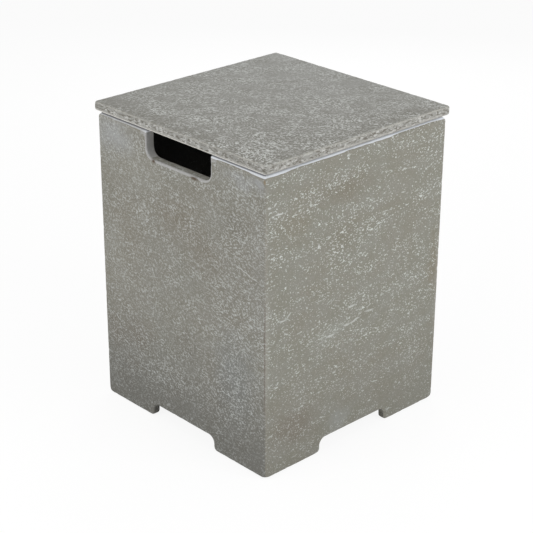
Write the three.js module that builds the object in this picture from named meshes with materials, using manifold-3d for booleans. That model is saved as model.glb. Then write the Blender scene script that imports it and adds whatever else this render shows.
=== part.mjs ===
// A square cover table for a standing gas cylinder: a cast concrete shell, open at the top and
// at the bottom, and a lift-off cast lid that serves as the table top. Millimetres, +Z up. The
// origin is the middle of the footprint, on the ground. The front, -Y, has a lifting slot.
import * as THREE from "three";
import { mergeVertices } from "three/addons/utils/BufferGeometryUtils.js";
import Module from "manifold-3d";

const wasm = await Module();
wasm.setup();

// Whole object
const lidSide = 406;
const overallHeight = 533;

// Lid slab
const lidThickness = 15;
const lidOverhang = 4;
const lidCornerRadius = 5;
const lidTopArris = 2.5;
const lidBottomArris = 3;

// Locating frame cast under the lid, which drops inside the rim
const locatorDepth = 8;
const locatorWidth = 12;
const locatorClearance = 3;
const locatorArris = 2;

// Round pads glued under the lid and under the feet
const lidPadThickness = 2;
const footPadThickness = 2;
const padMargin = 2;
const padEdge = 0.5;

// Shell walls, thicker at the rim because the core is drawn out downwards
const rimWall = 18;
const footWall = 14;
const bodyCornerRadius = 4;
const cavityCornerRadius = 30;

// Rolled shoulder round the outside of the rim
const shoulderRadius = 9;
const shoulderCornerRadius = 10;

// Arrises of the casting, and the fuller rounding of each foot's outer corner at the ground
const castArris = 3;
const footCornerRadius = 14;
const footCornerHeight = 10;

// Lifting slots, open at the rim, in the front and the rear wall
const liftingSlot = { width: 152, depth: 46, endRadius: 16, mouthRadius: 4 };

// Hose notches, open at the ground, in all four walls
const hoseNotch = { width: 152, depth: 24, endRadius: 12, mouthRadius: 8 };

// How far every cutter runs past what it cuts
const overrun = 5;

// Flat steps in each quarter-round, and round each pad
const cornerSteps = 8;
const arrisSteps = 5;
const padSteps = 32;

// Sizes that follow from the ones above
const quarterTurn = Math.PI / 2;
const lidHalf = lidSide / 2;
const lidBottom = overallHeight - lidThickness;
const bodyHalf = lidHalf - lidOverhang;
const bodyBottom = footPadThickness;
const rimTop = lidBottom - lidPadThickness;

// Points along a circular arc, both ends included
function arc(centreX, centreY, radius, from, to, steps) {
  return Array.from({ length: steps + 1 }, (_, step) => {
    const angle = from + ((to - from) * step) / steps;
    return new THREE.Vector2(centreX + radius * Math.cos(angle), centreY + radius * Math.sin(angle));
  });
}

// Square with rounded corners, centred on the axis
function squareOutline(half, radius) {
  const centre = half - radius;
  const signs = [[1, 1], [-1, 1], [-1, -1], [1, -1]];
  return signs.flatMap(([alongX, alongY], corner) => {
    const from = corner * quarterTurn;
    return arc(alongX * centre, alongY * centre, radius, from, from + quarterTurn, cornerSteps);
  });
}

// Distances from a rounded edge that split its quarter-round into equal angles
function edgeStations(reach) {
  return Array.from({ length: arrisSteps + 1 }, (_, step) => {
    return reach * (1 - Math.cos((step / arrisSteps) * quarterTurn));
  });
}

// How far a rounded edge has drawn back at a distance from it: by size at the edge itself, and
// not at all from reach onwards
function drawnBack(distance, reach, size = reach) {
  const remaining = Math.max(1 - distance / reach, 0);
  return size * (1 - Math.sqrt(1 - remaining ** 2));
}

// Closed surface through a stack of outlines that have the same number of points
function loft(sections) {
  const count = sections[0].outline.length;
  const positions = sections.flatMap(({ outline, at }) => outline.flatMap(({ x, y }) => [x, y, at]));
  const index = [];
  for (let level = 0; level + 1 < sections.length; level++) {
    for (let point = 0; point < count; point++) {
      const here = level * count + point;
      const next = level * count + ((point + 1) % count);
      index.push(here, next, next + count, here, next + count, here + count);
    }
  }
  const last = (sections.length - 1) * count;
  for (const [a, b, c] of THREE.ShapeUtils.triangulateShape(sections[0].outline, [])) {
    index.push(a, c, b);
  }
  for (const [a, b, c] of THREE.ShapeUtils.triangulateShape(sections.at(-1).outline, [])) {
    index.push(last + a, last + b, last + c);
  }
  const geometry = new THREE.BufferGeometry();
  geometry.setAttribute("position", new THREE.Float32BufferAttribute(positions, 3));
  return geometry.setIndex(index);
}

// Outlines up one rounded edge of an upright block, from the edge itself inwards. An edge has
// its height, the radius of its arris, and the plan radius that its corners grow to.
function edgeSections(half, radius, edge, direction) {
  const stations = [...edgeStations(edge.arris), ...edgeStations(edge.cornerHeight)];
  const distances = [...new Set(stations)].sort((a, b) => a - b);
  return distances.map((distance) => {
    const inset = drawnBack(distance, edge.arris);
    const growth = drawnBack(distance, edge.cornerHeight, edge.cornerRadius - radius);
    return { outline: squareOutline(half - inset, radius + growth), at: edge.at + direction * distance };
  });
}

// Upright square block with its lower and upper edges rounded
function roundedBlock(half, radius, lower, upper) {
  const low = edgeSections(half, radius, lower, 1);
  const high = edgeSections(half, radius, upper, -1);
  return loft([...low, ...high.reverse()]);
}

// Stations where a cutter enters a wall, and how much it has grown at each to round the arris
function flaredMouth(arris) {
  const stations = edgeStations(arris).map((along) => ({ along, grow: drawnBack(along, arris) }));
  return [{ along: -overrun, grow: arris }, ...stations];
}

// The same for a cutter that goes right through a wall, with both arrises rounded
function flaredThrough(thickness, arris) {
  const mouth = flaredMouth(arris);
  const exit = mouth.map(({ along, grow }) => ({ along: thickness - along, grow }));
  return [...mouth, ...exit.reverse()];
}

// Geometry to a solid that can be cut and joined, and back
function toSolid(geometry) {
  const bare = geometry.clone();
  bare.deleteAttribute("normal");
  bare.deleteAttribute("uv");
  const merged = mergeVertices(bare);
  const vertProperties = merged.attributes.position.array;
  const triVerts = new Uint32Array(merged.index.array);
  return new wasm.Manifold(new wasm.Mesh({ numProp: 3, vertProperties, triVerts }));
}

function toGeometry(solid) {
  const { vertProperties, triVerts } = solid.getMesh();
  const geometry = new THREE.BufferGeometry();
  geometry.setAttribute("position", new THREE.BufferAttribute(vertProperties, 3));
  geometry.setIndex(new THREE.BufferAttribute(triVerts, 1));
  geometry.computeVertexNormals();
  return geometry;
}

// Half the width of the cavity at a height: its walls lean outwards towards the feet
function cavityHalf(height) {
  return bodyHalf - THREE.MathUtils.mapLinear(height, bodyBottom, rimTop, footWall, rimWall);
}

// Outside of the shell: eased feet, upright walls and the rolled shoulder
function shellBlock() {
  const feet = {
    at: bodyBottom,
    arris: castArris,
    cornerRadius: footCornerRadius,
    cornerHeight: footCornerHeight,
  };
  const shoulder = {
    at: rimTop,
    arris: shoulderRadius,
    cornerRadius: shoulderCornerRadius,
    cornerHeight: shoulderRadius,
  };
  return roundedBlock(bodyHalf, bodyCornerRadius, feet, shoulder);
}

// Core of the shell, open at the feet and at the rim
function cavityCutter() {
  return loft(flaredThrough(rimTop - bodyBottom, castArris).map(({ along, grow }) => {
    const height = bodyBottom + along;
    return { outline: squareOutline(cavityHalf(height) + grow, cavityCornerRadius + grow), at: height };
  }));
}

// Outline of a slot cut in from an edge: its mouth is at y = 0 and its end at y = depth, and
// grow widens it all round
function slotOutline({ width, depth, endRadius, mouthRadius }, grow) {
  const mouthX = width / 2 + mouthRadius;
  const roundEnd = Math.min(endRadius, depth - mouthRadius);
  const right = [
    new THREE.Vector2(mouthX, -overrun),
    ...arc(mouthX, mouthRadius, mouthRadius - grow, 3 * quarterTurn, 2 * quarterTurn, arrisSteps),
    ...arc(width / 2 - roundEnd, depth - roundEnd, roundEnd + grow, 0, quarterTurn, cornerSteps),
  ];
  const left = right.map(({ x, y }) => new THREE.Vector2(-x, y)).reverse();
  return [...right, ...left];
}

// Cutter for a slot through the front wall, reaching up or down from its mouth
function slotCutter(slot, mouthHeight, reachesDown) {
  const halfDepth = slot.depth / 2;
  const wall = bodyHalf - cavityHalf(reachesDown ? mouthHeight - halfDepth : mouthHeight + halfDepth);
  const sections = flaredThrough(wall, castArris).map(({ along, grow }) => {
    return { outline: slotOutline(slot, grow), at: bodyHalf - along };
  });
  const cutter = loft(sections.reverse()).rotateX(quarterTurn);
  if (reachesDown) cutter.rotateY(2 * quarterTurn);
  return cutter.translate(0, 0, mouthHeight);
}

function shellGeometry() {
  let shell = toSolid(shellBlock()).subtract(toSolid(cavityCutter()));
  for (let side = 0; side < 4; side++) {
    const notch = slotCutter(hoseNotch, bodyBottom, false).rotateZ(side * quarterTurn);
    shell = shell.subtract(toSolid(notch));
  }
  for (const side of [0, 2]) {
    const slot = slotCutter(liftingSlot, rimTop, true).rotateZ(side * quarterTurn);
    shell = shell.subtract(toSolid(slot));
  }
  return toGeometry(shell);
}

// Edge of a block whose corners keep their plan radius
function plainEdge(at, arris, cornerRadius) {
  return { at, arris, cornerRadius, cornerHeight: arris };
}

// Lid slab with its locating frame, which is rooted in the slab and hollow in the middle
function lidGeometry() {
  const slab = roundedBlock(
    lidHalf,
    lidCornerRadius,
    plainEdge(lidBottom, lidBottomArris, lidCornerRadius),
    plainEdge(overallHeight, lidTopArris, lidCornerRadius),
  );
  const frameBottom = lidBottom - locatorDepth;
  const frameHalf = cavityHalf(rimTop) - locatorClearance;
  const frameRadius = cavityCornerRadius - locatorClearance;
  const frame = roundedBlock(
    frameHalf,
    frameRadius,
    plainEdge(frameBottom, locatorArris, frameRadius),
    plainEdge(lidBottom + locatorArris, locatorArris, frameRadius),
  );
  const holeStations = [...flaredMouth(locatorArris), { along: locatorDepth + overrun, grow: 0 }];
  const hole = loft(holeStations.map(({ along, grow }) => {
    const outline = squareOutline(frameHalf - locatorWidth + grow, frameRadius - locatorWidth + grow);
    return { outline, at: frameBottom + along };
  }));
  return toGeometry(toSolid(frame).subtract(toSolid(hole)).add(toSolid(slab)));
}

// Distance from the axis to a rounded square's outline, along its diagonal
function cornerReach(half, radius) {
  return Math.SQRT2 * (half - radius) + radius;
}

// Largest round pad on the flat between two rounded squares at a corner, less its margin
function padSeat(outerReach, innerReach) {
  return {
    radius: (outerReach - innerReach) / 2 - padMargin,
    offset: (outerReach + innerReach) / 2 / Math.SQRT2,
  };
}

// Upright disc with its lower edge bevelled
function padGeometry(radius, thickness) {
  const profile = [[0, 0], [radius - padEdge, 0], [radius, padEdge], [radius, thickness], [0, thickness]];
  const points = profile.map(([x, y]) => new THREE.Vector2(x, y));
  return new THREE.LatheGeometry(points, padSteps).rotateX(quarterTurn);
}

// One pad at each corner, named for the piece that it is glued to and its corner
function addPads(group, name, seat, thickness, bottom, material) {
  const corners = { front_left: [-1, -1], front_right: [1, -1], rear_right: [1, 1], rear_left: [-1, 1] };
  for (const [corner, [alongX, alongY]] of Object.entries(corners)) {
    const pad = new THREE.Mesh(padGeometry(seat.radius, thickness), material);
    pad.name = `${name}_${corner}`;
    pad.position.set(alongX * seat.offset, alongY * seat.offset, bottom);
    group.add(pad);
  }
}

const bodyConcrete = new THREE.MeshStandardMaterial({ color: 0x8b8a82, roughness: 0.92, metalness: 0 });
const lidConcrete = new THREE.MeshStandardMaterial({ color: 0x93938c, roughness: 0.9, metalness: 0 });
const padRubber = new THREE.MeshStandardMaterial({ color: 0x1f1f20, roughness: 0.8, metalness: 0 });

const cover = new THREE.Group();
const shell = new THREE.Mesh(shellGeometry(), bodyConcrete);
shell.name = "cover_shell";
cover.add(shell);
const footSeat = padSeat(
  cornerReach(bodyHalf - castArris, footCornerRadius),
  cornerReach(cavityHalf(bodyBottom) + castArris, cavityCornerRadius + castArris),
);
addPads(cover, "foot_pad", footSeat, footPadThickness, 0, padRubber);

const lid = new THREE.Group();
const slab = new THREE.Mesh(lidGeometry(), lidConcrete);
slab.name = "lid_slab";
lid.add(slab);
const rimSeat = padSeat(
  cornerReach(bodyHalf - shoulderRadius, shoulderCornerRadius),
  cornerReach(cavityHalf(rimTop) + castArris, cavityCornerRadius + castArris),
);
addPads(lid, "lid_pad", rimSeat, lidPadThickness, rimTop, padRubber);

const coverTable = new THREE.Group();
coverTable.add(cover, lid);

export default coverTable;
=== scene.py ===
import math
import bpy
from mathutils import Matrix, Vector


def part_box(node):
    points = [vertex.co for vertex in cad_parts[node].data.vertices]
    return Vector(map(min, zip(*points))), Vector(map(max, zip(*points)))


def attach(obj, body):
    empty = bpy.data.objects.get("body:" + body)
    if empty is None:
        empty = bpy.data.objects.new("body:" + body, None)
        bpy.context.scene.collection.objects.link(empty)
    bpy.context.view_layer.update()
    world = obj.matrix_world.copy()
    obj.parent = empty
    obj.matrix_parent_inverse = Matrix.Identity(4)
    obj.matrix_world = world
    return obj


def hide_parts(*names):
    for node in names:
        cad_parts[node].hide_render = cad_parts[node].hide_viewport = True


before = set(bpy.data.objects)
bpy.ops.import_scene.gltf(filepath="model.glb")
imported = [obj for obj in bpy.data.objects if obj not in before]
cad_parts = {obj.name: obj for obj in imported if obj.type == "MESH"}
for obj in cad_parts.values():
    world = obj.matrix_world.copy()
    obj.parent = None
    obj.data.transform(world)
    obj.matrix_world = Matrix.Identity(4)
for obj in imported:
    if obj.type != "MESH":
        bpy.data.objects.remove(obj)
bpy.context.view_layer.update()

from types import SimpleNamespace

import bmesh
import bpy
from mathutils import Matrix, Vector, kdtree, noise

MM = 0.001
AXES = (Vector((1, 0, 0)), Vector((0, 1, 0)), Vector((0, 0, 1)))

# The camera that the photograph was taken from, as fitted to the edges of the castings
CAMERA_PLACE_MM = (1725.850, -1639.079, 1326.857)
CAMERA_AZIMUTH = 46.65
CAMERA_ELEVATION = 24.445
CAMERA_ROLL = 0.237
CAMERA_LENS = 104.9485
CAMERA_SENSOR = 36.0
CAMERA_CLIP_START = 0.05
CAMERA_CLIP_END = 100.0

# Studio: lamps as name, place and size in metres, and power in watts; where they aim, the strength
# of the light of the room, and the floor's half size in metres, its colour, how bright it looks in
# the background and how much of that hides the shadow on it
LAMPS = [
    ("key", (1.7, 0.3, 1.2), 1.0, 15),
    ("fill", (-0.3, -1.7, 1.2), 1.0, 11),
    ("overhead", (0.1, -0.1, 1.6), 1.0, 1.4),
    ("back", (-1.3, 1.5, 1.0), 1.0, 8),
]
LAMP_AIM = (0, 0, 0.3)
ROOM_LIGHT = 0.55
FLOOR_HALF = 30.0
FLOOR_COLOUR = "#d8d8d8"
FLOOR_GLOW = 1.06
FLOOR_SHOWN = 0.85

# Places that the shapes and the finish follow, worked out from the castings in the frame, in mm
SHELL_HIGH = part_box("cover_shell")[1] / MM
LID_LOW, LID_HIGH = (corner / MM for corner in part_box("lid_slab"))
WALL_HALF = SHELL_HIGH.x
RIM_TOP = SHELL_HIGH.z
LID_HALF = LID_HIGH.x
LID_TOP = LID_HIGH.z

# How a casting's triangles are joined and its faces found and cut, with lengths in mm. A face runs
# along an axis where its normal points along it by less than ALONG.
MERGE = 0.01
SNAP = 0.0001
FLAT_ANGLE = math.radians(0.2)
ALONG = 0.2

# How finely the castings are then cut up for their relief, in mm, and how much the large faces
# count where the shading is smoothed
STRIP_WIDTH = 3.2
STRIP_GRID = 2.5
WALL_GRID = 5.0
CAVITY_GRID = 16.0
CHIP_GRID = 1.5
RIM_GRID = 1.6
RIM_BAND = 3.2
FLAT_WEIGHT = 90

# A face outside lies further along its own normal than this, in metres, and one in the cavity less
OUTWARD = -0.02

# What counts as a small rounded edge, and how far its wear reaches, in mm
ARRIS_RADIUS = 8.0
ARRIS_REACH = 5.0
LEAST_TURN = math.radians(5)

# Relief: shallow waves as depth and size in mm, and wear of the edges as depth and size in mm and
# the level of the noise that it starts at
SHELL_WAVES = [(0.3, 90.0), (0.12, 21.0)]
SHELL_WEAR = [(0.8, 11.0, 0.55)]
LID_WAVES = [(0.2, 80.0), (0.12, 18.0)]
LID_WEAR = [(0.5, 6.0, 0.5), (0.5, 2.6, 0.62)]

# Chips in the front wall under the slot: place across and up, half length and half height, in mm
CHIPS = [(-60.0, 467.5, 6.0, 3.5), (38.0, 466.5, 12.0, 3.8)]

# How deep a chip is, how far behind the wall's face it reaches, and the size of the noise in its
# outline, in mm; how ragged that makes it, how steeply it deepens, and how far its finer grid goes
# up and down against its half height
CHIP_DEPTH = 1.0
CHIP_ZONE = 4.0
CHIP_GRAIN = 3.0
CHIP_RAGGEDNESS = 0.5
CHIP_SLOPE = 1.4
CHIP_MARGIN = 1.5

# Soft stains: middle in mm, half sizes in mm, strength and colour
SHELL_STAINS = [
    ((-105, -199, 440), (100, 30, 55), 0.3, "#a2a198"),
    ((-5, -199, 395), (78, 58, 62), 0.44, "#7b7263"),
    ((55, -199, 350), (62, 58, 58), 0.4, "#7b7263"),
    ((-135, -199, 345), (87, 58, 90), 0.2, "#8a8273"),
    ((-111, -199, 143), (62, 50, 46), 0.32, "#776c60"),
    ((-175, -199, 130), (38, 38, 50), 0.28, "#776859"),
    ((20, -199, 170), (66, 50, 54), 0.34, "#736f66"),
    ((131, -199, 418), (44, 35, 35), 0.34, "#6b6559"),
    ((130, -199, 160), (75, 58, 110), 0.44, "#7c8387"),
    ((-160, -199, 270), (90, 60, 80), 0.2, "#a3a299"),
    ((-160, -199, 488), (80, 29, 48), 0.62, "#adb0b3"),
    ((152, -199, 494), (75, 29, 20), 0.42, "#aeb1b6"),
    ((184, -199, 330), (34, 29, 160), 0.3, "#9d9d99"),
    ((199, -35, 452), (29, 105, 34), 0.42, "#776e5d"),
    ((199, -139, 423), (29, 52, 44), 0.26, "#81775f"),
    ((199, -32, 376), (29, 58, 40), 0.36, "#77715f"),
    ((199, 186, 266), (29, 20, 102), 0.4, "#7f7159"),
    ((199, -48, 215), (29, 75, 23), 0.3, "#a3a69f"),
    ((199, -138, 75), (29, 75, 42), 0.52, "#776b5e"),
    ((199, -38, 45), (29, 38, 26), 0.45, "#a6a9a8"),
]
LID_STAINS = [
    ((-25, -78, 533), (87, 72, 29), 0.19, "#a0a19f"),
    ((15, 118, 533), (75, 52, 29), 0.17, "#a0a19f"),
    ((113, -100, 533), (72, 46, 29), 0.17, "#6f6d66"),
    ((179, 108, 533), (32, 87, 29), 0.3, "#67645a"),
    ((-76, -186, 533), (87, 20, 29), 0.3, "#67645a"),
]

# Where the flecks lie thickest: middle and half sizes in mm
SHELL_FLECKED = [
    ((199, -181, 440), (20, 26, 52)),
    ((199, 10, 413), (20, 125, 22)),
    ((199, -12, 474), (20, 50, 16)),
    ((199, 136, 312), (20, 50, 24)),
    ((199, -51, 335), (20, 36, 26)),
    ((199, 8, 260), (20, 76, 24)),
    ((199, -60, 222), (20, 90, 20)),
    ((199, -158, 240), (20, 28, 52)),
    ((199, 43, 110), (20, 36, 22)),
    ((199, -117, 30), (20, 46, 24)),
    ((-89, -199, 369), (46, 40, 34)),
    ((140, -199, 395), (66, 40, 90)),
    ((130, -199, 270), (110, 40, 130)),
    ((-50, -199, 95), (150, 40, 60)),
    ((125, -199, 120), (110, 40, 130)),
    ((186, -199, 420), (44, 40, 90)),
    ((150, -199, 474), (80, 40, 44)),
    ((186, -199, 260), (44, 40, 120)),
]

# Strokes of the brush: middle, half sizes, the angles that turn them, strength and colour
STROKES = [
    ((158, -199, 346), (36, 30, 1.1), (0, 14, 0), 0.7, "#cccecb"),
    ((-97, -199, 466), (15, 30, 1.0), (0, 75, 0), 0.6, "#cccecb"),
    ((-105, -199, 448), (12, 30, 1.0), (0, 50, 0), 0.5, "#cccecb"),
    ((199, -10, 245), (30, 12, 2.4), (0, 0, 0), 0.65, "#cccecb"),
    ((199, 32, 224), (30, 13, 2.4), (-5, 0, 0), 0.5, "#cccecb"),
    ((199, -21, 216), (30, 10, 2.4), (-3, 0, 0), 0.65, "#cccecb"),
    ((199, -3, 218), (30, 14, 2.2), (13, 0, 0), 0.65, "#cccecb"),
    ((199, -57, 208), (30, 12, 2.6), (3, 0, 0), 0.65, "#cccecb"),
    ((199, -164, 270), (30, 10, 1.8), (-3, 0, 0), 0.65, "#cccecb"),
    ((199, -151, 274), (30, 9, 1.6), (41, 0, 0), 0.65, "#cccecb"),
    ((199, -172, 449), (30, 11, 2.0), (-8, 0, 0), 0.9, "#cccecb"),
    ((199, -180, 465), (30, 5, 2.4), (49, 0, 0), 0.8, "#cccecb"),
    ((199, -192, 463), (30, 5, 2.2), (-10, 0, 0), 0.8, "#cccecb"),
    ((199, -87, 371), (30, 3.4, 3.8), (0, 0, 0), 0.9, "#cccecb"),
    ((185, -199, 499), (14, 4, 7.0), (0, 20, 0), 0.28, "#b4b7bd"),
    ((195, -199, 505), (2.6, 3, 4.5), (0, -20, 0), 0.6, "#8f7a58"),
]

# How much of a stain or a stroke is as strong as its middle, as a share of its half size
STAIN_CORE = 0.1
STROKE_CORE = 0.5

# Which way the slurry was wiped, as angles that turn the flecks
FRONT_SLANT = (0, 15, 0)
LID_SMEAR = (0, 0, 45)

# Flecks: how much the noise of the worm-like ones is twisted, the size and the seed of what breaks
# them up against their own, where the painted shade between them starts and is full as shares of
# their breadth, and how much of a speck is as strong as its middle, as a share of its radius
WORM_TWIST = 0.3
BREAK_SHARE = 0.6
BREAK_SEED = 7.3
SHADE_BETWEEN_SHARES = (0.7, 1.6)
SPECK_CORE = 0.5

# How strong bunches and flecked places count, and dots against the worm-like flecks
BUNCH_STRENGTH = 0.8
FLECKED_STRENGTH = 0.9
FRONT_DOTS = 0.7
SIDE_DOTS = 0.72

# Fine relief of the finishes in mm, and the index of refraction of their matt faces
FLECK_RELIEF = 0.15
GRAIN_RELIEF = 0.12
PIT_RELIEF = 0.4
DUST_RELIEF = 0.05
IOR = 1.45

# How ragged stains and strokes are: size of the noise and its reach, in mm
STAIN_EDGE = (22.0, 44.0)
STROKE_EDGE = (14.0, 6.0)
LID_STAIN_EDGE = (22.0, 60.0)

# Over how far, in mm, the front's finish turns into the side's at a corner. A place is measured
# there by how much further out it is to the front or rear than to the side.
CORNER_BLEND = (-1.5, 1.5)

# Shoulder: its pale line, bare casting with a painted highlight, and the shade under it, as heights
# in mm where each starts and is full, how much lower they lie where they wave and on the front, and
# how much of the line is gone left of the slot, between two places across
SHOULDER_LINE = (RIM_TOP - 3.8, RIM_TOP - 3.0)
SHOULDER_SHADE = (RIM_TOP - 5.6, RIM_TOP - 3.6)
SHOULDER_WAVE = 1.8
FRONT_DROP = 0.8
SHOULDER_FADE = 0.5
LEFT_OF_SLOT = (-70.0, -90.0)

# Painted shade in the joint under the lid, above the shoulder's line, as heights in mm where it
# starts and is full, and on the front also where it starts to fade and ends
FRONT_JOINT_SHADE = (RIM_TOP - 3.4, RIM_TOP - 2.6, RIM_TOP - 1.8, RIM_TOP - 1.0)
SIDE_JOINT_SHADE = (RIM_TOP - 2.7, RIM_TOP - 2.3)

# Worn arris of the lifting slots, as heights and half widths in mm where it starts and is full
SLOT_EDGE_HEIGHT = (458.0, 462.0)
SLOT_EDGE_HALF = (92.0, 88.0)

# Lines down a corner, as how much further out a place is to the front or rear than to the side and
# as heights, in mm: where each line starts, is full, starts to fade and ends
CORNER_LINE = (-2.2, -0.8, 0.4, 1.6)
CORNER_LINE_HEIGHT = (330.0, 380.0, 430.0, 480.0)
CREASE = (0.2, 1.2, 2.4, 3.4)
CREASE_HEIGHT = (90.0, 160.0, 290.0, 325.0)

# Pale strip of the side wall beside the crease: how far from the corner it starts and is full, and
# its heights like those above, in mm
BESIDE_CREASE = (12.0, 0.0)
BESIDE_HEIGHT = (90.0, 180.0, 290.0, 340.0)

# Heights in mm over which the walls grow darker and the painted shade at the front's foot set in
# downwards, and the front's flecks and the strength of the side's flecks upwards
LOW_DARKENING_HEIGHT = (220.0, 0.0)
FOOT_SHADE_HEIGHT = (220.0, 10.0)
FRONT_FLECKS_HEIGHT = (0.0, 110.0)
SIDE_FLECKS_HEIGHT = (0.0, 400.0)

# How far out the cavity's painted shade, a near black, starts and is full, in mm
CAVITY_SHADE_HALF = (184.5, 181.5)

# Lid: how far out the rim starts and is full, and on the top its darker margin and its pale brink,
# with the brink's heights, in mm
RIM = (LID_HALF - 1.4, LID_HALF - 0.6)
MARGIN = (LID_HALF - 42.0, LID_HALF - 16.0)
BRINK = (LID_HALF - 6.0, LID_HALF - 3.5)
BRINK_HEIGHT = (LID_TOP - 2.0, LID_TOP - 1.0)

# Rim of the lid, as where each starts and is full, in mm: its sharp upper edge as how far out and
# high together, heights of the dark lines, of the worn low edge with its ripple and of the painted
# light on the lowest edge, and how far from a corner the pale post of painted highlight on it reaches
SHARP_EDGE = (LID_HALF + LID_TOP - 2.2, LID_HALF + LID_TOP - 1.8)
RIM_LINES_HEIGHT = (LID_TOP - 1.6, LID_TOP - 2.6)
LOW_EDGE = (LID_LOW.z + 14.5, LID_LOW.z + 13.5)
LOW_EDGE_RIPPLE = 3.0
LOWEST_EDGE_LIGHT = (LID_LOW.z + 10.8, LID_LOW.z + 9.8)
POST_HIGHLIGHT = (2.0, 1.0)

# From the left rear to the right front of the lid, how far right and forward together its flecks
# get thicker and its top gets darker, in mm
WORN_REACH = (-150.0, 350.0)
FRONTWARD = (-400.0, 400.0)


def linear(colour):
    """sRGB hex colour as linear RGBA."""
    channels = [int(colour[i : i + 2], 16) / 255 for i in (1, 3, 5)]
    lit = [c / 12.92 if c <= 0.04045 else ((c + 0.055) / 1.055) ** 2.4 for c in channels]
    return (*lit, 1.0)


def node(tree, kind, sockets, output=0, **settings):
    """Adds a shader node, applies its settings, fills or links its sockets, and returns an output."""
    made = tree.nodes.new("ShaderNode" + kind)
    for name, value in settings.items():
        setattr(made, name, value)
    for socket in made.inputs:
        value = sockets.get(socket.identifier)
        if isinstance(value, bpy.types.NodeSocket):
            tree.links.new(value, socket)
        elif value is not None:
            socket.default_value = value
    return made.outputs[output]


# Camera, lights and floor

def make_camera():
    """The photograph's camera, looking back along its azimuth and elevation with a slight roll."""
    data = bpy.data.cameras.new("photo_camera")
    data.sensor_width = CAMERA_SENSOR
    data.lens = CAMERA_LENS
    data.clip_start = CAMERA_CLIP_START
    data.clip_end = CAMERA_CLIP_END
    camera = bpy.data.objects.new("photo_camera", data)
    bpy.context.scene.collection.objects.link(camera)
    azimuth, elevation, roll = map(math.radians, (CAMERA_AZIMUTH, CAMERA_ELEVATION, CAMERA_ROLL))
    back = Vector((
        math.sin(azimuth) * math.cos(elevation),
        -math.cos(azimuth) * math.cos(elevation),
        math.sin(elevation),
    ))
    right = (-back).cross(AXES[2]).normalized()
    up = right.cross(-back)
    turned_right = right * math.cos(roll) + up * math.sin(roll)
    turned_up = up * math.cos(roll) - right * math.sin(roll)
    axes = Matrix((turned_right, turned_up, back)).transposed()
    camera.matrix_world = Matrix.Translation(Vector(CAMERA_PLACE_MM) * MM) @ axes.to_4x4()
    bpy.context.scene.camera = camera


def seen_rays(tree):
    """1 for the rays that show the background: to the camera, off a gloss or through glass."""
    path = tree.nodes.new("ShaderNodeLightPath")
    kinds = ("Is Camera Ray", "Is Glossy Ray", "Is Transmission Ray")
    return combine(tree, "MAXIMUM", *[path.outputs[kind] for kind in kinds])


def make_floor():
    """A pale floor that takes the object's shadow and shows mostly as white background."""
    mesh = bpy.data.meshes.new("floor")
    shape = bmesh.new()
    bmesh.ops.create_grid(shape, x_segments=1, y_segments=1, size=FLOOR_HALF)
    shape.to_mesh(mesh)
    shape.free()
    floor = bpy.data.objects.new("floor", mesh)
    bpy.context.scene.collection.objects.link(floor)
    material = bpy.data.materials.new("studio_floor")
    material.use_nodes = True
    tree = material.node_tree
    tree.nodes.clear()
    painted = node(tree, "BsdfDiffuse", {"Color": linear(FLOOR_COLOUR)})
    lit = node(tree, "Emission", {"Color": (1, 1, 1, 1), "Strength": FLOOR_GLOW})
    seen = combine(tree, "MULTIPLY", seen_rays(tree), FLOOR_SHOWN)
    mixed = node(tree, "MixShader", {"Fac": seen, "Shader": painted, "Shader_001": lit})
    out = tree.nodes.new("ShaderNodeOutputMaterial")
    tree.links.new(mixed, out.inputs["Surface"])
    mesh.materials.append(material)


def make_world():
    """Soft light from all round, and plain white where the background shows."""
    world = bpy.data.worlds.new("studio")
    bpy.context.scene.world = world
    world.use_nodes = True
    tree = world.node_tree
    tree.nodes.clear()
    room = node(tree, "Background", {"Color": (1, 1, 1, 1), "Strength": ROOM_LIGHT})
    white = node(tree, "Background", {"Color": (1, 1, 1, 1), "Strength": 1.0})
    mixed = node(tree, "MixShader", {"Fac": seen_rays(tree), "Shader": room, "Shader_001": white})
    out = tree.nodes.new("ShaderNodeOutputWorld")
    tree.links.new(mixed, out.inputs["Surface"])


def make_lamp(name, place, size, power):
    """A square lamp that points at the middle of the object."""
    data = bpy.data.lights.new(name, "AREA")
    data.shape = "SQUARE"
    data.size = size
    data.energy = power
    lamp = bpy.data.objects.new(name, data)
    lamp.location = place
    aim = Vector(LAMP_AIM) - lamp.location
    lamp.rotation_euler = aim.to_track_quat("-Z", "Y").to_euler()
    bpy.context.scene.collection.objects.link(lamp)


# Shapes

def cast_copy(name):
    """A CAD casting with its loose triangles joined and each of its flat faces made whole."""
    shape = bmesh.new()
    shape.from_mesh(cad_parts[name].data)
    bmesh.ops.remove_doubles(shape, verts=shape.verts, dist=MERGE * MM)
    bmesh.ops.dissolve_limit(shape, angle_limit=FLAT_ANGLE, verts=shape.verts, edges=shape.edges)
    return shape


def cut_across(shape, faces, axis, spacing):
    """Cuts faces that run along an axis into lengths of about the spacing, in mm."""
    edges = {edge for face in faces for edge in face.edges}
    verts = {vert for face in faces for vert in face.verts}
    geometry = [*verts, *edges, *faces]
    places = [vert.co[axis] for vert in verts]
    low, high = min(places), max(places)
    count = round((high - low) / (spacing * MM))
    for step in range(1, count):
        place = AXES[axis] * (low + (high - low) * step / count)
        cut = bmesh.ops.bisect_plane(
            shape, geom=geometry, dist=SNAP * MM, plane_co=place, plane_no=AXES[axis]
        )
        geometry = cut["geom"]


def cut_up(shape, wanted, spacing):
    """Cuts the wanted faces across each axis that they run along."""
    for axis in range(3):
        faces = [face for face in shape.faces if abs(face.normal[axis]) < ALONG and wanted(face)]
        if faces:
            cut_across(shape, faces, axis, spacing)


def is_strip(face):
    """Whether a face is one of the narrow strips of a rounded edge."""
    longest = max(edge.calc_length() for edge in face.edges)
    return face.calc_area() < STRIP_WIDTH * MM * longest


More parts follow.
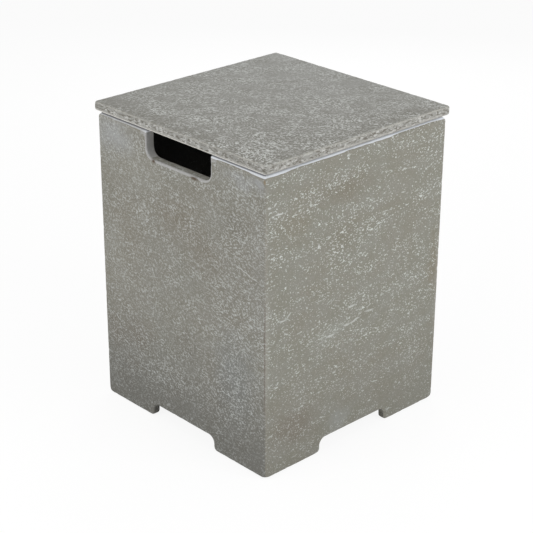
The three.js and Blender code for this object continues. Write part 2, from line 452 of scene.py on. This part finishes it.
def faces_out(face):
    """Whether a face of the shell is outside, on the rim or under the feet, not in the cavity."""
    centre = face.calc_center_median()
    return centre.x * face.normal.x + centre.y * face.normal.y > OUTWARD


def near_chip(face):
    """Whether a face of the front wall lies where the slot's edge is chipped."""
    centre = face.calc_center_median() / MM
    return centre.y < -WALL_HALF + CHIP_ZONE and any(
        abs(centre.x - x) < length and abs(centre.z - z) < height * CHIP_MARGIN
        for x, z, length, height in CHIPS
    )


def mark_arrises(shape):
    """Stores how near each point is to a small rounded edge: 1 on it, 0 from the reach onwards."""
    layer = shape.verts.layers.float.new("arris")
    rounded = set()
    for edge in shape.edges:
        angle = edge.calc_face_angle_signed()
        width = min(face.calc_area() for face in edge.link_faces) / edge.calc_length()
        if angle > LEAST_TURN and width < angle * ARRIS_RADIUS * MM:
            rounded.update(edge.verts)
    tree = kdtree.KDTree(len(rounded))
    for vert in rounded:
        tree.insert(vert.co, vert.index)
    tree.balance()
    for vert in shape.verts:
        distance = tree.find(vert.co)[2] / MM
        vert[layer] = max(1 - distance / ARRIS_REACH, 0.0)
    return layer


def level(place, size):
    """Noise from 0 to 1 at a place in metres, with lumps of about the size in mm."""
    return 0.5 + 0.5 * noise.noise(place / (size * MM) + Vector((size, size, size)))


def sink(shape, depth_at):
    """Moves the surface inwards by a depth in mm that is worked out for each point."""
    shape.normal_update()
    moves = [(vert, vert.normal * (-depth_at(vert) * MM)) for vert in shape.verts]
    for vert, move in moves:
        vert.co += move


def roughen(shape, arris, waves, wear):
    """Gives the surface shallow waves and worn edges: depth and size in mm, and where wear starts."""
    def depth_at(vert):
        depth = sum(deep * level(vert.co, size) for deep, size in waves)
        for deep, size, start in wear:
            worn = max(level(vert.co, size) - start, 0) / (1 - start)
            depth += deep * worn * vert[arris] ** 2
        return depth
    sink(shape, depth_at)


def chip_edges(shape):
    """Knocks small hollows out of the front wall below the slot, and stores where they are."""
    chipped = shape.verts.layers.float.new("chip")
    for vert in shape.verts:
        place = vert.co / MM
        if place.y > -WALL_HALF + CHIP_ZONE:
            continue
        for x, z, length, height in CHIPS:
            ragged = CHIP_RAGGEDNESS * (level(vert.co, CHIP_GRAIN) - 0.5)
            away = math.hypot((place.x - x) / length, (place.z - z) / height) + ragged
            vert[chipped] = max(vert[chipped], min(max(CHIP_SLOPE - CHIP_SLOPE * away, 0.0), 1.0))
    sink(shape, lambda vert: CHIP_DEPTH * vert[chipped])


def place_casting(shape, name, body, node_name, material):
    """Puts a finished shape into the scene in place of its CAD node."""
    mesh = bpy.data.meshes.new(name)
    for face in shape.faces:
        face.smooth = True
    shape.to_mesh(mesh)
    shape.free()
    mesh.materials.append(material)
    piece = bpy.data.objects.new(name, mesh)
    bpy.context.scene.collection.objects.link(piece)
    piece.modifiers.new("flat faces shade flat", "WEIGHTED_NORMAL").weight = FLAT_WEIGHT
    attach(piece, body)
    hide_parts(node_name)


def make_shell(material):
    """The shell, cut finest where it is chipped and coarsest in its cavity."""
    shape = cast_copy("cover_shell")
    cut_up(shape, lambda face: faces_out(face) and is_strip(face), STRIP_GRID)
    cut_up(shape, lambda face: faces_out(face) and not is_strip(face), WALL_GRID)
    cut_up(shape, lambda face: not faces_out(face), CAVITY_GRID)
    cut_up(shape, near_chip, CHIP_GRID)
    arris = mark_arrises(shape)
    roughen(shape, arris, SHELL_WAVES, SHELL_WEAR)
    chip_edges(shape)
    place_casting(shape, "cast_shell", "cover", "cover_shell", material)


def make_lid(material):
    """The lid, cut finest along its rim; the underside keeps its large faces."""
    shape = cast_copy("lid_slab")
    rim = (LID_HALF - RIM_BAND) * MM
    cut_up(shape, lambda face: max(map(abs, face.calc_center_median().xy)) > rim, RIM_GRID)
    cut_up(shape, lambda face: face.normal.z > 1 - ALONG, WALL_GRID)
    arris = mark_arrises(shape)
    roughen(shape, arris, LID_WAVES, LID_WEAR)
    place_casting(shape, "cast_lid", "lid", "lid_slab", material)


# Finishes

def turned(angles):
    """Angles in radians."""
    return [math.radians(angle) for angle in angles]


def pattern_place(tree, place, size, seed, stretch=(1, 1, 1), angles=(0, 0, 0)):
    """The place in steps of a size in mm, stretched along axes that the angles turn."""
    steps = [size * along for along in stretch]
    shape = {"Location": [seed * step for step in steps], "Rotation": turned(angles), "Scale": steps}
    return node(tree, "Mapping", {"Vector": place, **shape}, vector_type="TEXTURE")


def lumps(tree, place, size, levels, seed=0.0, stretch=(1, 1, 1), angles=(0, 0, 0), detail=3.0):
    """Soft patches of about one size in mm: 0 up to the first level of a noise, 1 from the second."""
    moved = pattern_place(tree, place, size, seed, stretch, angles)
    height = node(tree, "TexNoise", {"Vector": moved, "Scale": 1.0, "Detail": detail})
    return between(tree, height, *levels)


def worms(tree, place, size, breadth, levels, seed, stretch=(1, 1, 1), angles=(0, 0, 0), thin=0.0):
    """Worm-like flecks, where one noise crosses its middle and another breaks them up, and the
    painted shade between them. Where thin is higher, there are fewer flecks."""
    moved = pattern_place(tree, place, size, seed, stretch, angles)
    height = node(tree, "TexNoise", {"Vector": moved, "Scale": 1.0, "Detail": 1.0, "Distortion": WORM_TWIST})
    away = combine(tree, "SUBTRACT", height, 0.5)
    away = node(tree, "Math", {"Value": away}, operation="ABSOLUTE")
    moved = pattern_place(tree, place, size * BREAK_SHARE, seed + BREAK_SEED, stretch, angles)
    breaks = node(tree, "TexNoise", {"Vector": moved, "Scale": 1.0, "Detail": 1.0})
    broken = between(tree, combine(tree, "SUBTRACT", breaks, thin), *levels)
    line = combine(tree, "MULTIPLY", between(tree, away, breadth, 0.0), broken)
    shade_between = between(tree, away, *[share * breadth for share in SHADE_BETWEEN_SHARES])
    return line, shade_between


def specks(tree, place, size, radius, share, seed, stretch=(1, 1, 1)):
    """Round specks of a radius, as a share of the size in mm of the cells, in a share of the cells."""
    moved = pattern_place(tree, place, size, seed, stretch)
    distance = node(tree, "TexVoronoi", {"Vector": moved, "Scale": 1.0})
    reach = {"From Min": SPECK_CORE * radius, "From Max": radius}
    round_speck = node(tree, "MapRange", {"Value": distance, **reach, "To Min": 1.0, "To Max": 0.0})
    red = node(tree, "SeparateColor", {"Color": distance.node.outputs["Color"]})
    chosen = combine(tree, "LESS_THAN", red, share)
    return combine(tree, "MULTIPLY", round_speck, chosen)


def combine(tree, operation, *masks):
    """Joins masks or numbers two by two with one operation."""
    joined = masks[0]
    for mask in masks[1:]:
        joined = node(tree, "Math", {"Value": joined, "Value_001": mask}, operation=operation)
    return joined


def between(tree, value, start, end, low=0.0, high=1.0):
    """Turns a value into a mask that goes smoothly from low at the start to high at the end."""
    limits = {"Value": value, "From Min": start, "From Max": end, "To Min": low, "To Max": high}
    return node(tree, "MapRange", limits, interpolation_type="SMOOTHSTEP")


def within(tree, value, start, full, fading, end):
    """A mask that is 1 from full to fading, and 0 up to the start and from the end onwards."""
    return combine(tree, "MULTIPLY", between(tree, value, start, full), between(tree, value, end, fading))


def warped(tree, place, size, reach):
    """The place moved about by a noise, so that what is drawn there gets a ragged outline."""
    moved = node(tree, "Mapping", {"Vector": place, "Scale": (1 / size, 1 / size, 1 / size)})
    shift = node(tree, "TexNoise", {"Vector": moved, "Scale": 1.0, "Detail": 3.0}, output=1)
    centred = {"Vector": shift, "Vector_001": (0.5, 0.5, 0.5)}
    shift = node(tree, "VectorMath", centred, operation="SUBTRACT")
    reached = {"Vector": shift, "Vector_001": (reach, reach, reach), "Vector_002": place}
    return node(tree, "VectorMath", reached, operation="MULTIPLY_ADD")


def spot(tree, place, middle, half_sizes, angles=(0, 0, 0), core=STAIN_CORE):
    """An ellipsoid, given by its middle, half sizes and angles: 1 in its core, fading to its edge."""
    shape = {"Vector": place, "Location": middle, "Rotation": turned(angles), "Scale": half_sizes}
    moved = node(tree, "Mapping", shape, vector_type="TEXTURE")
    away = node(tree, "VectorMath", {"Vector": moved}, output=1, operation="LENGTH")
    return between(tree, away, 1.0, core)


def find_place(tree, place):
    """What a finish goes by: a place's three parts, how far out it is, how much further out to the
    front or rear than to the side, and masks of the front and rear, of the sides and of the arrises."""
    across = node(tree, "SeparateXYZ", {"Vector": place})
    along, height = across.node.outputs[1:]
    away_x = node(tree, "Math", {"Value": across}, operation="ABSOLUTE")
    away_y = node(tree, "Math", {"Value": along}, operation="ABSOLUTE")
    turn = combine(tree, "SUBTRACT", away_y, away_x)
    front = between(tree, turn, *CORNER_BLEND)
    return SimpleNamespace(
        place=place,
        across=across,
        along=along,
        height=height,
        away_x=away_x,
        away_y=away_y,
        out=combine(tree, "MAXIMUM", away_x, away_y),
        turn=turn,
        front=front,
        side=combine(tree, "SUBTRACT", 1.0, front),
        arris=node(tree, "Attribute", {}, output=2, attribute_name="arris"),
    )


def seen_half(tree, at):
    """The place, with the rear and left walls turned onto the front and right ones."""
    diagonal = combine(tree, "SUBTRACT", at.across, at.along)
    side = node(tree, "Math", {"Value": diagonal}, operation="SIGN")
    turn = node(tree, "CombineXYZ", {"X": side, "Y": side, "Z": 1.0})
    return node(tree, "VectorMath", {"Vector": at.place, "Vector_001": turn}, operation="MULTIPLY")


def coats(tree, colour, layers):
    """Lays colours over one another, each through its mask and as strong as it says."""
    for mask, strength, coat in layers:
        amount = combine(tree, "MULTIPLY", mask, strength)
        mixed = {"Factor_Float": amount, "A_Color": colour, "B_Color": linear(coat)}
        colour = node(tree, "Mix", mixed, output=2, data_type="RGBA")
    return colour


def stains(tree, ragged, rows):
    """Stains as coats, drawn at a place that makes their outlines ragged."""
    return [(spot(tree, ragged, *row[:2]), *row[2:]) for row in rows]


def new_material(name):
    """A node material with nothing in it yet, and the place on the piece in mm."""
    material = bpy.data.materials.new(name)
    material.use_nodes = True
    tree = material.node_tree
    tree.nodes.clear()
    coordinates = node(tree, "TexCoord", {}, output=3)
    place = node(tree, "Mapping", {"Vector": coordinates, "Scale": (1 / MM, 1 / MM, 1 / MM)})
    return material, tree, place


def finish_material(tree, colour, roughness, relief):
    """Joins colour, roughness and a relief in mm into the surface."""
    bump = node(tree, "Bump", {"Height": relief, "Distance": MM})
    surface = {"Base Color": colour, "Roughness": roughness, "Normal": bump, "IOR": IOR}
    bsdf = node(tree, "BsdfPrincipled", surface)
    out = tree.nodes.new("ShaderNodeOutputMaterial")
    tree.links.new(bsdf, out.inputs["Surface"])


# Finish of the shell. Its masks come as coats: mask, strength and colour.

def shell_ground(tree, at, grain):
    """The olive grey of the casting: clouds, stains, grain and grit, a duller front, painted shade at its
    foot.
    """
    cloud = lumps(tree, at.place, size=90.0, levels=(0.36, 0.64), seed=1.0)
    haze = lumps(
        tree, at.place, size=36.0, levels=(0.36, 0.64), seed=3.0, stretch=(1.4, 1.4, 0.8), detail=5.0
    )
    grit = lumps(tree, at.place, size=2.4, levels=(0.5, 0.75), seed=29.0, detail=1.0)
    # Painted shade: the front and rear walls get darker towards the ground
    foot_shade = combine(tree, "MULTIPLY", between(tree, at.height, *FOOT_SHADE_HEIGHT), at.front)
    return [
        (cloud, 0.4, "#8a8579"),
        (at.front, 0.28, "#827d76"),
        (haze, 0.25, "#9b9c98"),
        *stains(tree, at.ragged, SHELL_STAINS),
        (grain, 0.28, "#76746a"),
        (grit, 0.36, "#b2b0a8"),
        (at.edge, 0.25, "#98948a"),
        (foot_shade, 0.46, "#595a5a"),
    ]


def busy_places(tree, at):
    """Where flecks lie thick: the front's bunches of them, the front as a whole, and the sides."""
    flecked = combine(tree, "MAXIMUM", *[spot(tree, at.ragged, *row) for row in SHELL_FLECKED])
    bunch = lumps(
        tree, at.place, size=28.0, levels=(0.32, 0.66), seed=9.0, stretch=(1.4, 1.4, 0.8), detail=5.0
    )
    smears = lumps(
        tree, at.place, size=40.0, levels=(0.34, 0.7), seed=5.0, stretch=(1.9, 1.9, 0.5), detail=5.0
    )
    front_busy = combine(tree, "MAXIMUM", combine(tree, "MULTIPLY", bunch, BUNCH_STRENGTH), flecked)
    front_busy = between(tree, front_busy, 0.0, 1.0, low=0.4, high=0.95)
    above_foot = between(tree, at.height, *FRONT_FLECKS_HEIGHT, low=0.6, high=1.0)
    front_busy = combine(tree, "MULTIPLY", front_busy, above_foot)
    side_busy = combine(tree, "MAXIMUM", smears, combine(tree, "MULTIPLY", flecked, FLECKED_STRENGTH))
    return bunch, front_busy, side_busy


def front_flecks(tree, at, bunch, busy, big_worms, dots):
    """Painted shade between flecks, fine and larger flecks on the front, slanted as the slurry was wiped."""
    worm, _ = worms(
        tree, at.place, size=8.0, breadth=0.08, levels=(0.52, 0.58), seed=41.0,
        stretch=(1.35, 1.35, 0.8), angles=FRONT_SLANT,
    )
    fine_worms, fleck_shade = worms(
        tree, at.place, size=4.8, breadth=0.13, levels=(0.5, 0.57), seed=53.0,
        stretch=(1.2, 1.2, 0.85), angles=FRONT_SLANT,
    )
    fine = combine(tree, "MAXIMUM", fine_worms, combine(tree, "MULTIPLY", dots, FRONT_DOTS))
    large = combine(tree, "MAXIMUM", worm, big_worms)
    return (
        combine(tree, "MULTIPLY", fleck_shade, bunch, at.front),
        combine(tree, "MULTIPLY", fine, busy, at.front),
        combine(tree, "MULTIPLY", large, busy, at.front),
    )


def side_flecks(tree, at, thin, dotted, big_worms, dots):
    """Flecks, dashes and dots on the side walls, which are brighter higher up."""
    short_worms, _ = worms(
        tree, at.place, size=5.0, breadth=0.13, levels=(0.61, 0.66), seed=47.0,
        stretch=(1.3, 1.3, 0.8), thin=thin,
    )
    bright_dots = specks(tree, at.place, size=10.0, radius=0.14, share=dotted, seed=67.0)
    dashes = specks(
        tree, at.place, size=4.6, radius=0.3, share=dotted, seed=73.0, stretch=(1.7, 1.7, 0.75)
    )
    faint = combine(tree, "MULTIPLY", combine(tree, "MAXIMUM", dashes, dots), SIDE_DOTS)
    flecks = combine(tree, "MAXIMUM", short_worms, faint, big_worms, bright_dots)
    higher = between(tree, at.height, *SIDE_FLECKS_HEIGHT, low=0.72, high=1.1)
    return combine(tree, "MULTIPLY", flecks, at.side, higher)


def shell_flecks(tree, at):
    """Pale slurry caught on the grain, as coats, and a mask of the flecks that stand proud."""
    bunch, front_busy, side_busy = busy_places(tree, at)
    thin = between(tree, side_busy, 1.0, 0.0, low=-0.02, high=0.045)
    dotted = between(tree, side_busy, 0.0, 1.0, low=0.16, high=0.4)
    big_worms, _ = worms(
        tree, at.place, size=9.0, breadth=0.07, levels=(0.63, 0.67), seed=31.0,
        stretch=(1.6, 1.6, 0.7), thin=thin,
    )
    dots = specks(tree, at.place, size=4.6, radius=0.26, share=dotted, seed=61.0)
    side = side_flecks(tree, at, thin, dotted, big_worms, dots)
    fleck_shade, fine, large = front_flecks(tree, at, bunch, front_busy, big_worms, dots)
    layers = [
        # Painted shade between the flecks of the front
        (fleck_shade, 0.25, "#6f6b62"),
        (side, 0.94, "#d3d7d3"),
        (fine, 0.8, "#c2c4c0"),
        (large, 0.75, "#cdd0ce"),
    ]
    return layers, combine(tree, "ADD", side, large)


def shell_strokes(tree, seen):
    """Single strokes that the brush left."""
    wobbly = warped(tree, seen, *STROKE_EDGE)
    return [(spot(tree, wobbly, *row[:3], core=STROKE_CORE), *row[3:]) for row in STROKES]


def corner_lines(tree, at):
    """The worn line down the upper part of a corner, and the crease below it with its pale side."""
    corner_height = within(tree, at.height, *CORNER_LINE_HEIGHT)
    corner = combine(tree, "MULTIPLY", within(tree, at.turn, *CORNER_LINE), corner_height)
    crease_height = within(tree, at.height, *CREASE_HEIGHT)
    crease = combine(tree, "MULTIPLY", within(tree, at.turn, *CREASE), crease_height)
    from_corner = combine(tree, "SUBTRACT", at.away_x, at.away_y)
    beside_height = within(tree, at.height, *BESIDE_HEIGHT)
    beside = combine(tree, "MULTIPLY", between(tree, from_corner, *BESIDE_CREASE), at.side, beside_height)
    return [
        (corner, 0.45, "#a6a299"),
        (beside, 0.4, "#a8a79f"),
        (crease, 0.5, "#6e5e55"),
    ]


def slot_wear_and_low_darkening(tree, at):
    """The worn arris round the lifting slots, and a darkening towards the ground."""
    slot_height = between(tree, at.height, *SLOT_EDGE_HEIGHT)
    slot_width = between(tree, at.away_x, *SLOT_EDGE_HALF)
    return [
        (combine(tree, "MULTIPLY", at.edge, slot_height, slot_width), 0.7, "#bababa"),
        (between(tree, at.height, *LOW_DARKENING_HEIGHT), 0.14, "#5f5e59"),
    ]


def shoulder_lines(tree, at):
    """The pale line along the rolled shoulder, bare casting with a painted highlight, the shade under
    it, and the painted shade in the joint above it.
    """
    wave = lumps(tree, at.place, size=60.0, levels=(0.3, 0.7), seed=71.0)
    waved = combine(tree, "MULTIPLY", wave, SHOULDER_WAVE)
    dropped = combine(tree, "MULTIPLY", at.front, FRONT_DROP)
    wavy = combine(tree, "ADD", at.height, waved, dropped)
    faded = combine(tree, "MULTIPLY", between(tree, at.across, *LEFT_OF_SLOT), at.front, SHOULDER_FADE)
    kept = combine(tree, "SUBTRACT", 1.0, faded)
    line = combine(tree, "MULTIPLY", between(tree, wavy, *SHOULDER_LINE), kept)
    front_joint_shade = combine(tree, "MULTIPLY", within(tree, at.height, *FRONT_JOINT_SHADE), at.front)
    side_joint_shade = combine(tree, "MULTIPLY", between(tree, at.height, *SIDE_JOINT_SHADE), at.side)
    return [
        (between(tree, wavy, *SHOULDER_SHADE), 0.35, "#7f7868"),
        # The shoulder's pale line: bare casting with a painted highlight
        (line, 0.95, "#e4e8ee"),
        # Painted shade in the joint under the lid, on the front and the sides
        (front_joint_shade, 0.8, "#606066"),
        (side_joint_shade, 0.3, "#7c7c82"),
    ]


def shell_concrete():
    """Glass-fibre concrete, cast and wiped with pale slurry: an olive grey matt with pale flecks.
    The flecks are drawn coarser than the finest real ones, which wouldn't show."""
    material, tree, place = new_material("glass_fibre_concrete_shell")
    at = find_place(tree, place)
    seen = seen_half(tree, at)
    at.ragged = warped(tree, seen, *STAIN_EDGE)
    at.edge = between(tree, at.arris, 0.8, 0.97)
    grain = lumps(tree, place, size=3.0, levels=(0.28, 0.72), seed=23.0, detail=2.0)
    chip = node(tree, "Attribute", {}, output=2, attribute_name="chip")
    flecks, proud = shell_flecks(tree, at)
    colour = coats(tree, linear("#8a897e"), [
        *shell_ground(tree, at, grain),
        *flecks,
        *shell_strokes(tree, seen),
        *corner_lines(tree, at),
        *slot_wear_and_low_darkening(tree, at),
        *shoulder_lines(tree, at),
        (chip, 1.0, "#57493a"),
        # Painted shade: the cavity's inside coloured near black
        (between(tree, at.out, *CAVITY_SHADE_HALF), 1.0, "#1a1a1b"),
    ])
    roughness = between(tree, grain, 0.0, 1.0, low=0.95, high=0.8)
    fleck_relief = combine(tree, "MULTIPLY", proud, FLECK_RELIEF)
    grain_relief = combine(tree, "MULTIPLY", grain, GRAIN_RELIEF)
    finish_material(tree, colour, roughness, combine(tree, "ADD", fleck_relief, grain_relief))
    return material


# Finish of the lid, in coats too

def lid_ground(tree, at, grain):
    """The grey of the table top: clouds wiped slantwise, stains, grain, and a paler rim."""
    cloud = lumps(
        tree, at.place, size=70.0, levels=(0.36, 0.64), seed=2.0, stretch=(2, 1, 1), angles=LID_SMEAR
    )
    dark = lumps(
        tree, at.place, size=28.0, levels=(0.5, 0.66), seed=13.0, stretch=(1.7, 1, 1),
        angles=LID_SMEAR, detail=5.0,
    )
    ragged = warped(tree, at.place, *LID_STAIN_EDGE)
    frontward = between(tree, at.diagonal, *FRONTWARD)
    front_or_right = combine(tree, "MAXIMUM", at.across, combine(tree, "MULTIPLY", at.along, -1.0))
    margin = between(tree, front_or_right, *MARGIN)
    brink = combine(
        tree, "MULTIPLY", between(tree, at.out, *BRINK), between(tree, at.height, *BRINK_HEIGHT)
    )
    return [
        (cloud, 0.3, "#878681"),
        (at.haze, 0.35, "#9c9c99"),
        (combine(tree, "MULTIPLY", dark, at.top), 0.4, "#73716a"),
        *stains(tree, ragged, LID_STAINS),
        (combine(tree, "MULTIPLY", frontward, at.top), 0.7, "#6f6d65"),
        (combine(tree, "MULTIPLY", margin, at.top), 0.34, "#69665d"),
        (grain, 0.2, "#6e6d66"),
        (at.rim, 0.45, "#a9a8a2"),
        (brink, 0.15, "#a9a8a2"),
    ]


def lid_busy(tree, at):
    """How thick the flecks of the top lie: in bunches, less in the haze, more to the right front."""
    bunch = lumps(
        tree, at.place, size=26.0, levels=(0.32, 0.64), seed=9.0, stretch=(1.7, 1, 1),
        angles=LID_SMEAR, detail=5.0,
    )
    worn = between(tree, at.diagonal, *WORN_REACH, low=0.65, high=1.15)
    calm = between(tree, at.haze, 0.0, 1.0, low=1.0, high=0.7)
    return combine(tree, "MULTIPLY", between(tree, bunch, 0.0, 1.0, low=0.4, high=1.08), worn, calm)


def lid_flecks(tree, at):
    """Pale slurry caught on the grain of the top, as coats, and a mask of the larger flecks."""
    busy = lid_busy(tree, at)
    big_worms, _ = worms(
        tree, at.place, size=12.0, breadth=0.06, levels=(0.57, 0.62), seed=31.0,
        stretch=(1.4, 1, 1), angles=LID_SMEAR,
    )
    worm, _ = worms(
        tree, at.place, size=6.5, breadth=0.13, levels=(0.53, 0.59), seed=41.0,
        stretch=(1.15, 1, 1), angles=LID_SMEAR,
    )
    fine_worms, fleck_shade = worms(
        tree, at.place, size=4.8, breadth=0.17, levels=(0.5, 0.57), seed=53.0,
        stretch=(1.1, 1, 1), angles=LID_SMEAR,
    )
    dots = specks(tree, at.place, size=5.0, radius=0.28, share=0.35, seed=61.0)
    fine = combine(tree, "MAXIMUM", fine_worms, combine(tree, "MULTIPLY", dots, FRONT_DOTS))
    large = combine(tree, "MULTIPLY", combine(tree, "MAXIMUM", worm, big_worms), busy, at.top)
    layers = [
        # Painted shade between the flecks of the top
        (combine(tree, "MULTIPLY", fleck_shade, busy, at.top), 0.5, "#56534c"),
        (combine(tree, "MULTIPLY", fine, busy, at.top), 0.85, "#c2c4c1"),
        (large, 0.7, "#d0d2cf"),
    ]
    return layers, large


def rim_edges(tree, at):
    """Lines along the lid's rim: its worn low edge, its sharp upper edge, and the sharp edge's mask."""
    ripple = lumps(tree, at.place, size=12.0, levels=(0.35, 0.65), seed=97.0, stretch=(2.0, 2.0, 1.0))
    rippled = combine(tree, "ADD", at.height, combine(tree, "MULTIPLY", ripple, LOW_EDGE_RIPPLE))
    low_edge = combine(tree, "MULTIPLY", between(tree, rippled, *LOW_EDGE), at.rim)
    length = lumps(tree, at.place, size=50.0, levels=(0.35, 0.6), seed=93.0)
    sharp = between(tree, combine(tree, "ADD", at.out, at.height), *SHARP_EDGE)
    sharp_edge = combine(tree, "MULTIPLY", sharp, between(tree, length, 0.0, 1.0, low=0.55, high=1.0))
    return low_edge, sharp_edge, sharp


def rim_corner_highlight(tree, at):
    """The pale line down each corner of the rim, a painted highlight on its rounding."""
    apart = node(tree, "Math", {"Value": at.turn}, operation="ABSOLUTE")
    return combine(tree, "MULTIPLY", between(tree, apart, *POST_HIGHLIGHT), at.rim)


def lid_rim(tree, at):
    """The rough rim of the slab: flecks, dark lines, blotches and pits between its edges, a painted
    highlight down each corner and painted light on the front's lowest edge, as coats, and a mask of
    the pits."""
    low_edge, sharp_edge, sharp = rim_edges(tree, at)
    band = combine(tree, "MULTIPLY", at.rim, combine(tree, "SUBTRACT", 1.0, sharp))
    rim_worms, _ = worms(
        tree, at.place, size=8.0, breadth=0.12, levels=(0.47, 0.54), seed=83.0, stretch=(1.5, 1.5, 0.9)
    )
    rim_lines, _ = worms(
        tree, at.place, size=6.5, breadth=0.1, levels=(0.4, 0.47), seed=87.0, stretch=(2.4, 2.4, 0.7)
    )
    above_low_edge = combine(tree, "SUBTRACT", 1.0, low_edge)
    below_top = between(tree, at.height, *RIM_LINES_HEIGHT)
    blotches = lumps(tree, at.place, size=6.0, levels=(0.48, 0.62), seed=67.0)
    pits = specks(tree, at.place, size=5.0, radius=0.24, share=0.5, seed=71.0)
    pits = combine(tree, "MULTIPLY", pits, band)
    lowest_edge_light = combine(tree, "MULTIPLY", between(tree, at.height, *LOWEST_EDGE_LIGHT), at.front)
    layers = [
        (combine(tree, "MULTIPLY", rim_worms, band), 0.8, "#d0d0cc"),
        (between(tree, at.arris, 0.85, 0.98), 0.12, "#9b9890"),
        (combine(tree, "MULTIPLY", blotches, band), 0.2, "#b5b5b0"),
        (combine(tree, "MULTIPLY", rim_lines, band, above_low_edge, below_top), 0.75, "#5c5549"),
        (low_edge, 0.45, "#bbb9b3"),
        (sharp_edge, 0.55, "#b8b6ae"),
        # Painted highlight down each corner of the rim
        (rim_corner_highlight(tree, at), 0.4, "#bdbab1"),
        # Painted light: the lowest edge of the lid's front rim made pale where it lies in shade
        (lowest_edge_light, 0.9, "#f4f1ea"),
        (pits, 0.6, "#625c51"),
    ]
    return layers, pits


def lid_concrete():
    """The same concrete, more densely flecked and worn at its edge: a grey matt table top. Its
    flecks are drawn coarser than the finest real ones too."""
    material, tree, place = new_material("glass_fibre_concrete_lid")
    at = find_place(tree, place)
    at.diagonal = combine(tree, "SUBTRACT", at.across, at.along)
    at.rim = between(tree, at.out, *RIM)
    at.top = combine(tree, "SUBTRACT", 1.0, at.rim)
    at.haze = lumps(
        tree, place, size=34.0, levels=(0.36, 0.64), seed=3.0, stretch=(1.7, 1, 1),
        angles=LID_SMEAR, detail=5.0,
    )
    grain = lumps(tree, place, size=3.0, levels=(0.28, 0.72), seed=23.0, detail=2.0)
    flecks, proud = lid_flecks(tree, at)
    rim, pits = lid_rim(tree, at)
    colour = coats(tree, linear("#8b8b86"), [*lid_ground(tree, at, grain), *flecks, *rim])
    roughness = between(tree, grain, 0.0, 1.0, low=0.92, high=0.75)
    fleck_relief = combine(tree, "MULTIPLY", proud, FLECK_RELIEF)
    grain_relief = combine(tree, "MULTIPLY", grain, GRAIN_RELIEF)
    relief = combine(tree, "ADD", fleck_relief, grain_relief)
    relief = combine(tree, "SUBTRACT", relief, combine(tree, "MULTIPLY", pits, PIT_RELIEF))
    finish_material(tree, colour, roughness, relief)
    return material


def pad_rubber():
    """Moulded nitrile rubber: a dull near-black that greys with dust."""
    material, tree, place = new_material("moulded_rubber_pad")
    dust = lumps(tree, place, size=3.0, levels=(0.45, 0.7))
    colour = coats(tree, linear("#1d1d1e"), [(dust, 0.4, "#3b3a38")])
    roughness = between(tree, dust, 0.0, 1.0, low=0.65, high=0.9)
    finish_material(tree, colour, roughness, combine(tree, "MULTIPLY", dust, DUST_RELIEF))
    return material


make_camera()
make_floor()
make_world()
for lamp in LAMPS:
    make_lamp(*lamp)
bpy.context.scene.view_settings.view_transform = "Standard"

rubber = pad_rubber()
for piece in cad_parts.values():
    piece.data.materials.clear()
    piece.data.materials.append(rubber)
make_shell(shell_concrete())
make_lid(lid_concrete())
